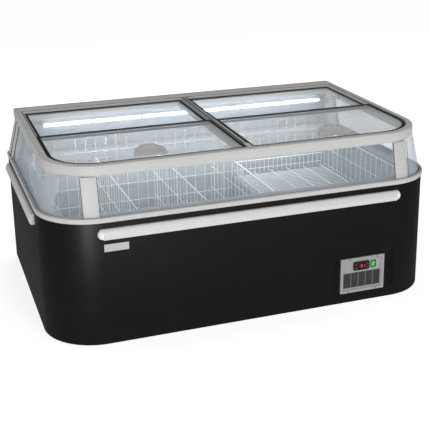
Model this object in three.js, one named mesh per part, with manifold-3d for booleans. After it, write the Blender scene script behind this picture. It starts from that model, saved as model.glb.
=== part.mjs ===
// Glass-topped island chest freezer, in millimetres, +Z up, standing on its feet at Z = 0.
// The front faces -Y and the length runs along X.
import * as THREE from 'three';
import { mergeVertices } from 'three/addons/utils/BufferGeometryUtils.js';
import Module from 'manifold-3d';

const wasm = await Module();
wasm.setup();

// Cabinet.
const LENGTH = 1800;
const DEPTH = 1160;
const FRONT_CORNER = 236;
const REAR_CORNER = 8;
const BODY_TOP = 549;
const SHELL_BOTTOM = 10;
const SHEET = 3;
const GAP = 0.3;
const REAR_SPLIT = DEPTH / 2 - 3.5;
const ARC_STEPS = 8;

// Tank and the raised floor over the machine compartment.
const TANK_HALF = 817;
const TANK_FRONT = -497;
const TANK_REAR = 452;
const TANK_CORNER = 50;
const TANK_FLOOR = 85;
const HUMP_START = 270;
const HUMP_TOP = 330;
const MACHINE_START = HUMP_START + 60;
const MACHINE_TOP = HUMP_TOP - 60;
const TRAY_TOP = 18;

// Glass house: the walls lean in from the collar to the sloping top frame.
const COLLAR_TOP = 560;
const RIM_TOP = 569;
const GLASS_INSET = 10;
const GLASS_THICK = 5;
const LEAN = 38;
const LEAN_HEIGHT = 170;
const POST_INNER = 673;
const POST_OUTER = 739;
const REAR_RETURN_START = 430;
const REAR_WALL_THICK = 24;
const REAR_WALL_INSET = 2;

// Top frame, drawn flat in its own frame: Y from its front edge, Z down from its top face.
const DECK_HALF = 862;
const DECK_DEPTH = 1068;
const DECK_FRONT_Y = -537;
const DECK_FRONT_Z = 775;
const DECK_RISE = 25;
const DECK_THICK = 45;
const DECK_CORNER = 218;
const DECK_ANGLE = Math.atan(DECK_RISE / DECK_DEPTH);
const TRACK_FRONT = 37;
const TRACK_REAR = 977;
const UPPER_TRACK = { half: 828, depth: 11, corner: 184, mullion: 12 };
const LOWER_TRACK = { half: 820, depth: 21, corner: 176, mullion: 20 };
const OPENING_HALF = 810;
const OPENING_LIP = 10;
const OPENING_CORNER = 166;
const MULLION_HALF = 30;
const LID_LENGTH = 480;
const LID_THICK = 8.7;
const LID_EDGE = 12;
const LID_PANE = 4;
const HANDLE_RADIUS = 72;
const HANDLE_HEIGHT = 30;
const HANDLE_FRONT = 8;
const HANDLE_RIM = 18;
const HANDLE_DISH = 6;
const HANDLE_X = 420;

// Front fittings.
const FRONT_Y = -DEPTH / 2;
const PANEL = { x0: 402, x1: 620, z0: 60, z1: 226 };
const PANEL_PROUD = 9;
const PANEL_RECESS = 8;
const CONTROLLER = { x: 506, z: 184, width: 79, height: 40 };
const SWITCH = { x: 567, z: 184, width: 25, height: 32 };
const GRILLE = { x0: 418, x1: 604, z0: 80, z1: 154 };
const LOUVRE_COUNT = 13;
const LOUVRE_Z0 = 66;
const LOUVRE_PITCH = 13.4;
const LOUVRE_HEIGHT = 5;
const LOUVRES = [{ x0: 350, x1: 388 }, { x0: 634, x1: 676 }];
const BUMPER_Z = 500;
const BUMPER_HALF_HEIGHT = 23.5;
const BUMPER_DEPTH = 24;
const BUMPER_HALF_LENGTH = 690;
const SIDE_BUMPER = { y0: -300, y1: 520 };
const GLAND_DEPTH = 12;
const FAN = { x: 511, y: -440, z: 145, radius: 78 };

// The bumpers stand further out in front than the gland does behind: this centres the box on Y.
const CENTRE_SHIFT = (BUMPER_DEPTH - GLAND_DEPTH) / 2;

const finish = (color, roughness, metalness = 0) => ({ color, roughness, metalness });
const FINISHES = {
  blackPaint: finish(0x141414, 0.42),
  greyTrim: finish(0xc9c8c4, 0.45),
  whiteLiner: finish(0xdfe6ea, 0.5),
  greyPlastic: finish(0x8f8e8a, 0.55),
  blackPlastic: finish(0x101113, 0.5),
  galvanised: finish(0x9a9da0, 0.4, 0.8),
  foam: finish(0xe6d9a8, 0.9),
  whiteWire: finish(0xf2f4f5, 0.35),
  glass: finish(0xcfe0e6, 0.05),
  lamp: finish(0xffffff, 0.3),
  green: finish(0x35c24a, 0.35),
  plate: finish(0xf0f0ee, 0.4),
};

const freezer = new THREE.Group();
freezer.position.y = CENTRE_SHIFT;
const deck = new THREE.Group();
deck.position.set(0, DECK_FRONT_Y, DECK_FRONT_Z);
deck.rotation.x = DECK_ANGLE;
freezer.add(deck);

// ---------------------------------------------------------------- geometry helpers

function solid(geometry) {
  const bare = geometry.clone();
  bare.deleteAttribute('normal');
  bare.deleteAttribute('uv');
  const merged = mergeVertices(bare, 1e-4);
  const vertProperties = Float32Array.from(merged.attributes.position.array);
  const triVerts = Uint32Array.from(merged.index.array);
  return new wasm.Manifold(new wasm.Mesh({ numProp: 3, vertProperties, triVerts }));
}

function geometryOf(body) {
  const mesh = body.getMesh();
  const geometry = new THREE.BufferGeometry();
  geometry.setAttribute('position', new THREE.BufferAttribute(mesh.vertProperties, 3));
  geometry.setIndex(new THREE.BufferAttribute(mesh.triVerts, 1));
  return geometry;
}

function add(name, shape, look, parent = freezer) {
  const geometry = shape.isBufferGeometry ? shape : geometryOf(shape);
  const mesh = new THREE.Mesh(geometry, new THREE.MeshStandardMaterial(FINISHES[look]));
  mesh.name = name;
  parent.add(mesh);
  return mesh;
}

function box(x0, x1, y0, y1, z0, z1) {
  const geometry = new THREE.BoxGeometry(x1 - x0, y1 - y0, z1 - z0);
  return solid(geometry.translate((x0 + x1) / 2, (y0 + y1) / 2, (z0 + z1) / 2));
}

function prism(shape, z0, z1) {
  const options = { depth: z1 - z0, bevelEnabled: false, curveSegments: ARC_STEPS };
  return new THREE.ExtrudeGeometry(shape, options).translate(0, 0, z0);
}

function cylinderAlongY(radius, y0, y1, x, z, sides = 20) {
  const geometry = new THREE.CylinderGeometry(radius, radius, y1 - y0, sides);
  return solid(geometry.translate(x, (y0 + y1) / 2, z));
}

function roundedRectangle(x0, x1, y0, y1, frontRadius, rearRadius) {
  const shape = new THREE.Shape();
  shape.moveTo(x0 + frontRadius, y0);
  shape.absarc(x1 - frontRadius, y0 + frontRadius, frontRadius, -Math.PI / 2, 0);
  shape.absarc(x1 - rearRadius, y1 - rearRadius, rearRadius, 0, Math.PI / 2);
  shape.absarc(x0 + rearRadius, y1 - rearRadius, rearRadius, Math.PI / 2, Math.PI);
  shape.absarc(x0 + frontRadius, y0 + frontRadius, frontRadius, Math.PI, Math.PI * 1.5);
  return shape;
}

// The cabinet's plan, moved in by inset all round.
function plan(inset) {
  const halfLength = LENGTH / 2 - inset;
  const halfDepth = DEPTH / 2 - inset;
  const rear = Math.max(REAR_CORNER - inset, 2);
  return roundedRectangle(-halfLength, halfLength, -halfDepth, halfDepth, FRONT_CORNER - inset, rear);
}

function band(outerInset, innerInset, z0, z1) {
  return solid(prism(plan(outerInset), z0, z1)).subtract(solid(prism(plan(innerInset), z0 - 1, z1 + 1)));
}

function tankPlan(wall) {
  const corner = TANK_CORNER + wall;
  const half = TANK_HALF + wall;
  return roundedRectangle(-half, half, TANK_FRONT - wall, TANK_REAR + wall, corner, corner);
}

// The tank's solid, stepped up over the machine compartment.
function tankSolid(wall, top) {
  const whole = solid(prism(tankPlan(wall), TANK_FLOOR - wall, top));
  const step = box(HUMP_START + wall, LENGTH, -DEPTH, DEPTH, 0, HUMP_TOP - wall);
  return whole.subtract(step);
}

function underDeck(y) {
  return DECK_FRONT_Z - DECK_THICK - 2 * GAP + Math.tan(DECK_ANGLE) * (y - DECK_FRONT_Y);
}

// Leans an upright wall in, and cuts its top edge to the slope of the top frame.
function leanIn(body) {
  const geometry = geometryOf(body);
  const position = geometry.attributes.position;
  const share = (value, from, to) => THREE.MathUtils.clamp((Math.abs(value) - from) / (to - from), 0, 1);
  const tangentY = DEPTH / 2 - FRONT_CORNER;
  for (let i = 0; i < position.count; i += 1) {
    const x = position.getX(i);
    const y = position.getY(i);
    const atTop = position.getZ(i) > RIM_TOP + 1;
    const edge = LENGTH / 2 - GLASS_INSET;
    const z = atTop ? underDeck(y) : position.getZ(i);
    const inset = LEAN * (z - COLLAR_TOP) / LEAN_HEIGHT;
    const leanX = inset * share(x, POST_OUTER + 1, edge);
    const leanY = inset * share(y, tangentY, DEPTH / 2 - GLASS_INSET);
    const newY = y - Math.sign(y) * leanY;
    position.setXYZ(i, x - Math.sign(x) * leanX, newY, atTop ? underDeck(newY) : z);
  }
  return geometry;
}

// ---------------------------------------------------------------- cabinet

function outerShell() {
  let shell = band(0, SHEET, SHELL_BOTTOM, BODY_TOP);
  shell = shell.subtract(box(-LENGTH, LENGTH, REAR_SPLIT, DEPTH, 0, BODY_TOP + 1));
  const aperture = 8;
  shell = shell.subtract(box(PANEL.x0 + aperture, PANEL.x1 - aperture, FRONT_Y - 5, FRONT_Y + 5,
    PANEL.z0 + aperture, PANEL.z1 - aperture));
  for (const { x0, x1 } of LOUVRES) {
    for (let i = 0; i < LOUVRE_COUNT; i += 1) {
      const z = LOUVRE_Z0 + i * LOUVRE_PITCH;
      shell = shell.subtract(box(x0, x1, FRONT_Y - 5, FRONT_Y + 5, z, z + LOUVRE_HEIGHT));
    }
  }
  return shell;
}

function rearPanel() {
  const slab = box(-LENGTH, LENGTH, REAR_SPLIT + GAP, DEPTH, 0, LENGTH);
  let panel = solid(prism(plan(0), SHELL_BOTTOM, BODY_TOP)).intersect(slab);
  for (let i = 0; i < 8; i += 1) {
    const z = 80 + i * 20;
    panel = panel.subtract(box(420, 760, REAR_SPLIT - 5, DEPTH, z, z + 6));
  }
  return panel;
}

function baseTray() {
  const rear = box(-LENGTH, LENGTH, REAR_SPLIT, DEPTH, 0, LENGTH);
  return solid(prism(plan(SHEET + GAP), SHELL_BOTTOM + 2, TRAY_TOP)).subtract(rear);
}

function insulation() {
  const rear = box(-LENGTH, LENGTH, REAR_SPLIT, DEPTH, 0, LENGTH);
  const machine = box(MACHINE_START, LENGTH, -DEPTH, DEPTH, 0, MACHINE_TOP);
  const block = solid(prism(plan(SHEET + GAP), TRAY_TOP + GAP, BODY_TOP - GAP));
  return block.subtract(rear).subtract(machine).subtract(tankSolid(SHEET + GAP, LENGTH));
}

function collar() {
  const ring = solid(prism(plan(GLASS_INSET - GAP), BODY_TOP + GAP, COLLAR_TOP));
  return ring.subtract(solid(prism(tankPlan(0), 0, LENGTH)));
}

function foot(x, y) {
  const top = SHELL_BOTTOM + 2 - GAP;
  const profile = [[0, 0], [24, 0], [24, 5], [9, 7], [9, top], [0, top]];
  const points = profile.map(([radius, z]) => new THREE.Vector2(radius, z));
  return new THREE.LatheGeometry(points, 16).rotateX(Math.PI / 2).translate(x, y, 0);
}

function addCabinet() {
  add('outer_shell', outerShell(), 'blackPaint');
  add('rear_panel', rearPanel(), 'galvanised');
  add('base_tray', baseTray(), 'galvanised');
  add('insulation', insulation(), 'foam');
  add('tank_liner', tankSolid(SHEET, BODY_TOP - GAP).subtract(tankSolid(0, LENGTH)), 'whiteLiner');
  add('collar', collar(), 'whiteLiner');
  for (const [side, x] of [['left', -640], ['right', 640]]) {
    add(`foot_front_${side}`, foot(x, -440), 'blackPlastic');
    add(`foot_rear_${side}`, foot(x, 480), 'blackPlastic');
  }
}

// ---------------------------------------------------------------- refrigeration unit

function compressor() {
  const profile = [[0, 24], [60, 24], [74, 40], [76, 110], [70, 150], [45, 176], [0, 184]];
  const points = profile.map(([radius, z]) => new THREE.Vector2(radius, z));
  const can = solid(new THREE.LatheGeometry(points, 24).rotateX(Math.PI / 2).translate(690, 120, 0));
  return can.add(box(590, 790, 40, 200, TRAY_TOP + GAP, 28));
}

function condenser() {
  let block = box(414, 608, -515, -460, TRAY_TOP + GAP, 250);
  for (let i = 0; i < 16; i += 1) {
    const x = 424 + i * 11;
    block = block.subtract(box(x, x + 7, -600, -400, 34, 240));
  }
  return block;
}

function fanMotor() {
  const motor = cylinderAlongY(34, FAN.y + 34, FAN.y + 92, FAN.x, FAN.z);
  const bracket = box(FAN.x - 60, FAN.x + 60, FAN.y + 60, FAN.y + 66, TRAY_TOP + GAP, FAN.z);
  return motor.add(bracket);
}

function fanBlades() {
  let fan = cylinderAlongY(18, FAN.y, FAN.y + 22, FAN.x, FAN.z);
  fan = fan.add(cylinderAlongY(4, FAN.y + 20, FAN.y + 34 - GAP, FAN.x, FAN.z, 12));
  const blades = 5;
  for (let i = 0; i < blades; i += 1) {
    const blade = new THREE.BoxGeometry(30, 2, FAN.radius - 12);
    blade.translate(0, 0, 12 + (FAN.radius - 12) / 2).rotateZ(Math.PI / 7);
    blade.rotateY((i / blades) * 2 * Math.PI);
    fan = fan.add(solid(blade.translate(FAN.x, FAN.y + 11, FAN.z)));
  }
  return fan;
}

function cordGland() {
  const y = DEPTH / 2;
  const nut = cylinderAlongY(16, y + GAP, y + 5, 790, 60, 6);
  const gland = nut.add(cylinderAlongY(11, y + 4, y + GLAND_DEPTH, 790, 60));
  return gland.subtract(cylinderAlongY(4.5, y - 1, y + GLAND_DEPTH + 1, 790, 60, 12));
}

function addMachinery() {
  add('compressor', compressor(), 'blackPlastic');
  add('condenser', condenser(), 'galvanised');
  add('fan_motor', fanMotor(), 'galvanised');
  add('fan_blades', fanBlades(), 'greyPlastic');
  add('cord_gland', cordGland(), 'blackPlastic');
}

// ---------------------------------------------------------------- control panel

// A flange that stands on the shell, and a tub sunk through it with the fittings on its floor.
function controlPanel() {
  const wall = 9;
  const tubFloor = FRONT_Y - PANEL_PROUD + PANEL_RECESS;
  const { x0, x1, z0, z1 } = PANEL;
  let panel = box(x0, x1, FRONT_Y - PANEL_PROUD, FRONT_Y - GAP, z0, z1);
  panel = panel.add(box(x0 + wall, x1 - wall, FRONT_Y - 2, FRONT_Y + 14, z0 + wall, z1 - wall));
  panel = panel.subtract(box(x0 + wall + 3, x1 - wall - 3, tubFloor + 4, FRONT_Y + 40,
    z0 + wall + 3, z1 - wall - 3));
  panel = panel.subtract(box(x0 + 10, x1 - 10, FRONT_Y - 40, tubFloor, z0 + 10, z1 - 10));
  panel = panel.subtract(cutOut(CONTROLLER, -4));
  panel = panel.subtract(cutOut(SWITCH, -1.5));
  return panel.subtract(box(GRILLE.x0, GRILLE.x1, FRONT_Y - 50, FRONT_Y + 50, GRILLE.z0, GRILLE.z1));
}

function cutOut({ x, z, width, height }, grow) {
  return faceBlock({ x, z, width, height }, grow, FRONT_Y - 50, FRONT_Y + 50);
}

function intakeGrille() {
  const y = FRONT_Y - PANEL_PROUD + PANEL_RECESS;
  const edge = 0.5;
  let grille = box(GRILLE.x0 + edge, GRILLE.x1 - edge, y, y + 3, GRILLE.z0 + edge, GRILLE.z1 - edge);
  const panels = 5;
  const pitch = (GRILLE.x1 - GRILLE.x0 - 4) / panels;
  for (let i = 0; i < panels; i += 1) {
    for (let slot = 0; slot < 5; slot += 1) {
      const x = GRILLE.x0 + 5 + i * pitch + slot * 6.4;
      grille = grille.subtract(box(x, x + 3.6, y - 5, y + 9, GRILLE.z0 + 6, GRILLE.z1 - 6));
    }
  }
  return grille;
}

// Button places on the controller's face, as offsets from its centre.
const BUTTONS = [['up', -29, 8], ['down', -29, -8], ['set', 29, 8], ['defrost', 29, -8]];
const BUTTON_SIZE = { width: 11, height: 8 };
const CONTROLLER_FACE = FRONT_Y - PANEL_PROUD + PANEL_RECESS - 7;

function controller() {
  const { x, z, width, height } = CONTROLLER;
  const back = FRONT_Y - PANEL_PROUD + PANEL_RECESS - GAP;
  const face = roundedRectangle(x - width / 2, x + width / 2, z - height / 2, z + height / 2, 7, 7);
  const front = prism(face, 0, back - CONTROLLER_FACE).rotateX(Math.PI / 2).translate(0, back, 0);
  const inner = 5;
  let body = solid(front).add(box(x - width / 2 + inner, x + width / 2 - inner, back - 1, back + 55,
    z - height / 2 + inner, z + height / 2 - inner));
  body = body.subtract(box(x - 19, x + 19, CONTROLLER_FACE - 1, CONTROLLER_FACE + 1, z - 11, z + 11));
  for (const [, dx, dz] of BUTTONS) {
    const hole = { x: x + dx, z: z + dz, ...BUTTON_SIZE };
    body = body.subtract(faceBlock(hole, GAP, CONTROLLER_FACE - 1, CONTROLLER_FACE + 5));
  }
  return body;
}

function faceBlock({ x, z, width, height }, grow, y0, y1) {
  const halfWidth = width / 2 + grow;
  const halfHeight = height / 2 + grow;
  return box(x - halfWidth, x + halfWidth, y0, y1, z - halfHeight, z + halfHeight);
}

function switchBezel() {
  const y = FRONT_Y - PANEL_PROUD + PANEL_RECESS - GAP;
  const { x, z, width, height } = SWITCH;
  const rim = box(x - width / 2, x + width / 2, y - 3, y, z - height / 2, z + height / 2);
  const body = cutOut(SWITCH, -1.8).intersect(box(0, LENGTH, y - 1, y + 22, 0, LENGTH));
  const well = cutOut(SWITCH, -2.8).intersect(box(0, LENGTH, y - 9, y + 19, 0, LENGTH));
  return rim.add(body).subtract(well);
}

// The rocker turns about X; its lower half is pressed in at rest.
function switchRocker() {
  const half = SWITCH.height / 2 - 4;
  const outline = new THREE.Shape();
  outline.moveTo(-4.5, half);
  outline.lineTo(-2, 0);
  outline.lineTo(-4.5, -half);
  outline.lineTo(3, -half + 2);
  outline.lineTo(3, half - 2);
  const width = SWITCH.width - 6.2;
  const rocker = new THREE.ExtrudeGeometry(outline, { depth: width, bevelEnabled: false });
  rocker.translate(0, 0, -width / 2).applyMatrix4(new THREE.Matrix4().set(
    0, 0, 1, 0,
    1, 0, 0, 0,
    0, 1, 0, 0,
    0, 0, 0, 1,
  ));
  return rocker.rotateX(THREE.MathUtils.degToRad(7)).translate(SWITCH.x, FRONT_Y + 1, SWITCH.z);
}

function addControls() {
  add('control_panel', controlPanel(), 'greyTrim');
  add('intake_grille', intakeGrille(), 'blackPlastic');
  add('controller', controller(), 'blackPlastic');
  for (const [name, dx, dz] of BUTTONS) {
    const place = { x: CONTROLLER.x + dx, z: CONTROLLER.z + dz, ...BUTTON_SIZE };
    add(`button_${name}`, faceBlock(place, 0, CONTROLLER_FACE - 0.8, CONTROLLER_FACE + 4), 'greyPlastic');
  }
  add('switch_bezel', switchBezel(), 'blackPlastic');
  add('switch_rocker', switchRocker(), 'green');
}

// ---------------------------------------------------------------- bumpers and plate

function bumperProfile() {
  const reach = BUMPER_DEPTH;
  const high = BUMPER_HALF_HEIGHT;
  const shape = new THREE.Shape();
  shape.moveTo(GAP, -high);
  shape.lineTo(reach * 0.55, -high);
  shape.quadraticCurveTo(reach * 0.9, -high * 0.85, reach, -2);
  shape.quadraticCurveTo(reach, high * 0.7, reach * 0.5, high);
  shape.lineTo(GAP, high);
  return shape;
}

// A straight rail from one end to the other, its back to the wall that faces outward.
function rail(length) {
  const options = { depth: length, bevelEnabled: false, curveSegments: 4 };
  const bar = new THREE.ExtrudeGeometry(bumperProfile(), options);
  return bar.translate(0, 0, -length / 2).rotateX(Math.PI / 2);
}

function bumperCap(side) {
  const x = side * (BUMPER_HALF_LENGTH - BUMPER_HALF_HEIGHT);
  const dome = new THREE.SphereGeometry(BUMPER_HALF_HEIGHT, 16, 12);
  dome.scale(1, BUMPER_DEPTH / BUMPER_HALF_HEIGHT, 1).translate(x, FRONT_Y, BUMPER_Z);
  const inside = side > 0 ? [x + GAP, LENGTH] : [-LENGTH, x - GAP];
  return solid(dome).intersect(box(...inside, -LENGTH, FRONT_Y - GAP, 0, LENGTH));
}

function addBumpers() {
  const frontLength = 2 * (BUMPER_HALF_LENGTH - BUMPER_HALF_HEIGHT);
  const front = rail(frontLength).rotateZ(-Math.PI / 2).translate(0, FRONT_Y, BUMPER_Z);
  add('bumper_front', front, 'greyTrim');
  add('bumper_front_cap_left', bumperCap(-1), 'greyTrim');
  add('bumper_front_cap_right', bumperCap(1), 'greyTrim');
  const middle = (SIDE_BUMPER.y0 + SIDE_BUMPER.y1) / 2;
  const sideLength = SIDE_BUMPER.y1 - SIDE_BUMPER.y0;
  add('bumper_right', rail(sideLength).translate(LENGTH / 2, middle, BUMPER_Z), 'greyTrim');
  const left = rail(sideLength).rotateZ(Math.PI).translate(-LENGTH / 2, middle, BUMPER_Z);
  add('bumper_left', left, 'greyTrim');
  add('name_plate', box(-665, -562, FRONT_Y - 2.3, FRONT_Y - GAP, 423, 455), 'plate');
}

// ---------------------------------------------------------------- glass house

function addGlassHouse() {
  const rim = band(-6, GLASS_INSET - 1, BODY_TOP + GAP, RIM_TOP);
  const seam = 655;
  const frontOnly = box(-seam, seam, -LENGTH, 0, 0, LENGTH);
  add('rim_front', rim.intersect(frontOnly), 'greyTrim');
  add('rim_surround', rim.subtract(box(-seam - GAP, seam + GAP, -LENGTH, 0, 0, LENGTH)), 'greyTrim');

  const top = COLLAR_TOP + LEAN_HEIGHT;
  const pane = band(GLASS_INSET, GLASS_INSET + GLASS_THICK, COLLAR_TOP + GAP, top);
  const inner = POST_INNER - GAP;
  const outer = POST_OUTER + 1;
  const rear = REAR_RETURN_START - GAP;
  add('glass_front', leanIn(pane.intersect(box(-inner, inner, -LENGTH, 0, 0, LENGTH))), 'glass');
  add('glass_left', leanIn(pane.intersect(box(-LENGTH, -outer, -LENGTH, rear, 0, LENGTH))), 'glass');
  add('glass_right', leanIn(pane.intersect(box(outer, LENGTH, -LENGTH, rear, 0, LENGTH))), 'glass');

  const posts = band(GLASS_INSET - 4, GLASS_INSET + 13, RIM_TOP + GAP, top);
  const leftPost = posts.intersect(box(-POST_OUTER, -POST_INNER, -LENGTH, 0, 0, LENGTH));
  const rightPost = posts.intersect(box(POST_INNER, POST_OUTER, -LENGTH, 0, 0, LENGTH));
  add('post_front_left', leanIn(leftPost), 'greyTrim');
  add('post_front_right', leanIn(rightPost), 'greyTrim');

  const wallInside = GLASS_INSET + REAR_WALL_THICK;
  const wallFoot = band(GLASS_INSET, wallInside, COLLAR_TOP + GAP, RIM_TOP + 5);
  const wall = band(REAR_WALL_INSET, wallInside, RIM_TOP + GAP, top).add(wallFoot);
  const returns = wall.intersect(box(-LENGTH, LENGTH, REAR_RETURN_START, LENGTH, 0, LENGTH));
  add('rear_wall', leanIn(returns), 'greyTrim');
}

// ---------------------------------------------------------------- top frame and lids

function topFrame() {
  const bottom = -DECK_THICK;
  const trackPlan = ({ half, corner }) => roundedRectangle(-half, half, TRACK_FRONT, TRACK_REAR, corner, 2);
  const outline = roundedRectangle(-DECK_HALF, DECK_HALF, 0, DECK_DEPTH, DECK_CORNER, 12);
  const opening = roundedRectangle(-OPENING_HALF, OPENING_HALF, TRACK_FRONT + OPENING_LIP,
    TRACK_REAR - OPENING_LIP, OPENING_CORNER, 6);
  const frame = solid(prism(outline, bottom, 0)).subtract(solid(prism(opening, bottom - 1, 1)));
  const upper = solid(prism(trackPlan(UPPER_TRACK), -UPPER_TRACK.depth, 1));
  const lower = solid(prism(trackPlan(LOWER_TRACK), -LOWER_TRACK.depth, -UPPER_TRACK.depth + GAP));
  return frame.subtract(upper).subtract(lower);
}

function centreMullion() {
  const y0 = TRACK_FRONT + OPENING_LIP + GAP;
  const y1 = TRACK_REAR - OPENING_LIP - GAP;
  const web = box(-UPPER_TRACK.mullion, UPPER_TRACK.mullion, y0, y1, -DECK_THICK, 0);
  const ledge = box(-LOWER_TRACK.mullion, LOWER_TRACK.mullion, y0, y1, -DECK_THICK, -UPPER_TRACK.depth);
  return web.add(ledge).add(box(-MULLION_HALF, MULLION_HALF, y0, y1, -DECK_THICK, -LOWER_TRACK.depth));
}

// One lid's outline: side is -1 on the left bay and 1 on the right bay.
function lidPlan(side, track, y0, inset) {
  const near = track.mullion + 1 + inset;
  const far = track.half - 1 - inset;
  const rounded = track === UPPER_TRACK ? track.corner - 1 - inset : 0;
  const corner = Math.max(rounded, 2);
  const shape = new THREE.Shape();
  const low = y0 + inset;
  const high = y0 + LID_LENGTH - inset;
  shape.moveTo(side * near, low);
  shape.lineTo(side * (far - corner), low);
  if (side > 0) {
    shape.absarc(far - corner, low + corner, corner, -Math.PI / 2, 0);
  } else {
    shape.absarc(-far + corner, low + corner, corner, -Math.PI / 2, Math.PI, true);
  }
  shape.lineTo(side * far, high);
  shape.lineTo(side * near, high);
  return shape;
}

function lid(side, track, y0) {
  const bottom = -track.depth + GAP;
  const top = bottom + LID_THICK;
  const paneBottom = bottom + 2;
  const whole = solid(prism(lidPlan(side, track, y0, 0), bottom, top));
  const hole = solid(prism(lidPlan(side, track, y0, LID_EDGE), bottom - 1, top + 1));
  const pane = solid(prism(lidPlan(side, track, y0, LID_EDGE + GAP), paneBottom, paneBottom + LID_PANE));
  return { frame: whole.subtract(hole), pane, paneTop: paneBottom + LID_PANE };
}

// A half-moon pull that rises from its straight front edge, with a dished face inside a broad rim.
function lidHandle(side, paneTop) {
  const moon = (radius) => {
    const shape = new THREE.Shape();
    shape.moveTo(-radius, 0);
    shape.lineTo(radius, 0);
    shape.absarc(0, 0, radius, 0, Math.PI);
    return shape;
  };
  const slope = THREE.MathUtils.radToDeg(Math.atan((HANDLE_HEIGHT - HANDLE_FRONT) / HANDLE_RADIUS));
  const reach = 2 * HANDLE_RADIUS;
  const above = box(-reach, reach, -reach, reach, 0, reach).rotate([slope, 0, 0]);
  const dish = solid(prism(moon(HANDLE_RADIUS - HANDLE_RIM), -HANDLE_DISH, reach)).translate([0, 4, 0]);
  const block = solid(prism(moon(HANDLE_RADIUS), 0, HANDLE_HEIGHT));
  const rise = [0, 0, HANDLE_FRONT];
  const pull = block.subtract(above.translate(rise)).subtract(dish.rotate([slope, 0, 0]).translate(rise));
  return geometryOf(pull).translate(side * HANDLE_X, TRACK_FRONT + 46, paneTop + GAP);
}

function addTopFrame() {
  const frame = topFrame();
  const seam = 700;
  add('top_rail_front', frame.intersect(box(-seam, seam, -1, 60, -LENGTH, 1)), 'greyTrim', deck);
  const rest = frame.subtract(box(-seam - GAP, seam + GAP, -1, 60, -LENGTH, 1));
  add('top_frame_surround', rest, 'greyTrim', deck);
  add('centre_mullion', centreMullion(), 'greyTrim', deck);
  const frontY = TRACK_FRONT + 1;
  const rearY = TRACK_REAR - 1 - LID_LENGTH;
  for (const [name, side] of [['left', -1], ['right', 1]]) {
    const front = lid(side, UPPER_TRACK, frontY);
    add(`lid_front_${name}_frame`, front.frame, 'blackPlastic', deck);
    add(`lid_front_${name}_glass`, front.pane, 'glass', deck);
    add(`lid_front_${name}_handle`, lidHandle(side, front.paneTop), 'greyPlastic', deck);
    const rear = lid(side, LOWER_TRACK, rearY);
    add(`lid_rear_${name}_frame`, rear.frame, 'blackPlastic', deck);
    add(`lid_rear_${name}_glass`, rear.pane, 'glass', deck);
  }
}

// ---------------------------------------------------------------- inside the tank

const WIRE = 4;
const GRID_BOTTOM = 92;
const GRID_LIFT = 7;
const LAMP = { x: 35, y: 484, z: 706, radius: 9, length: 1560 };

// A wire grid as a plate with open cells, standing in the XZ plane from (0, 0).
function gridPlate(width, height, notch) {
  const bar = 8;
  const columns = Math.round(width / 190);
  const rows = Math.max(Math.round(height / 150), 1);
  const stepX = (width - bar) / columns;
  const stepZ = (height - bar) / rows;
  let plate = box(0, width, 0, WIRE, 0, height);
  if (notch) {
    plate = plate.subtract(box(notch.x, width + 1, -1, WIRE + 1, -1, notch.z));
  }
  for (let column = 0; column < columns; column += 1) {
    for (let row = 0; row < rows; row += 1) {
      const x1 = (column + 1) * stepX;
      const z1 = (row + 1) * stepZ;
      const low = row * stepZ + bar;
      const z0 = notch && x1 > notch.x - bar ? Math.max(low, notch.z + bar) : low;
      if (z1 - z0 > bar) {
        plate = plate.subtract(box(bar + column * stepX, x1, -1, WIRE + 1, z0, z1));
      }
    }
  }
  return geometryOf(plate);
}

function addTankFittings() {
  const left = -TANK_HALF + 25;
  const width = 2 * (TANK_HALF - 25);
  const notch = { x: HUMP_START - 8 - left, z: HUMP_TOP + GRID_LIFT - GRID_BOTTOM };
  const sideFront = TANK_FRONT + 24;
  const sideDepth = TANK_REAR - 26 - sideFront;
  const lowTop = 548;
  const rearTop = 655;
  const rearGrid = gridPlate(width, rearTop - GRID_BOTTOM, notch);
  add('grid_rear', rearGrid.translate(left, 436, GRID_BOTTOM), 'whiteWire');
  const frontGrid = gridPlate(width, lowTop - GRID_BOTTOM, notch);
  add('grid_front', frontGrid.translate(left, TANK_FRONT + 10, GRID_BOTTOM), 'whiteWire');
  const across = (height) => gridPlate(sideDepth, height).rotateZ(Math.PI / 2);
  const leftGrid = across(lowTop - GRID_BOTTOM).translate(-TANK_HALF + 14, sideFront, GRID_BOTTOM);
  add('grid_left', leftGrid, 'whiteWire');
  const rightBottom = HUMP_TOP + GRID_LIFT;
  const rightGrid = across(lowTop - rightBottom).translate(TANK_HALF - 10, sideFront, rightBottom);
  add('grid_right', rightGrid, 'whiteWire');
  const dividers = [-485, -175, 140];
  dividers.forEach((x, index) => {
    const height = lowTop - 8 - GRID_BOTTOM;
    add(`divider_${index + 1}`, across(height).translate(x, sideFront, GRID_BOTTOM), 'whiteWire');
  });
  const rackWidth = TANK_HALF - 26 - (HUMP_START + 10);
  const rack = gridPlate(rackWidth, sideDepth).rotateX(-Math.PI / 2);
  const rackPlace = [HUMP_START + 10, sideFront, HUMP_TOP + 20];
  add('hump_rack', rack.translate(...rackPlace), 'whiteWire');
  const lamp = new THREE.CylinderGeometry(LAMP.radius, LAMP.radius, LAMP.length, 16).rotateZ(Math.PI / 2);
  add('lamp', lamp.translate(LAMP.x, LAMP.y, LAMP.z), 'lamp');
}

addCabinet();
addMachinery();
addControls();
addBumpers();
addGlassHouse();
addTopFrame();
addTankFittings();

export default freezer;
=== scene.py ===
import math
import bmesh
import bpy
from mathutils import Matrix, Vector


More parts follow.
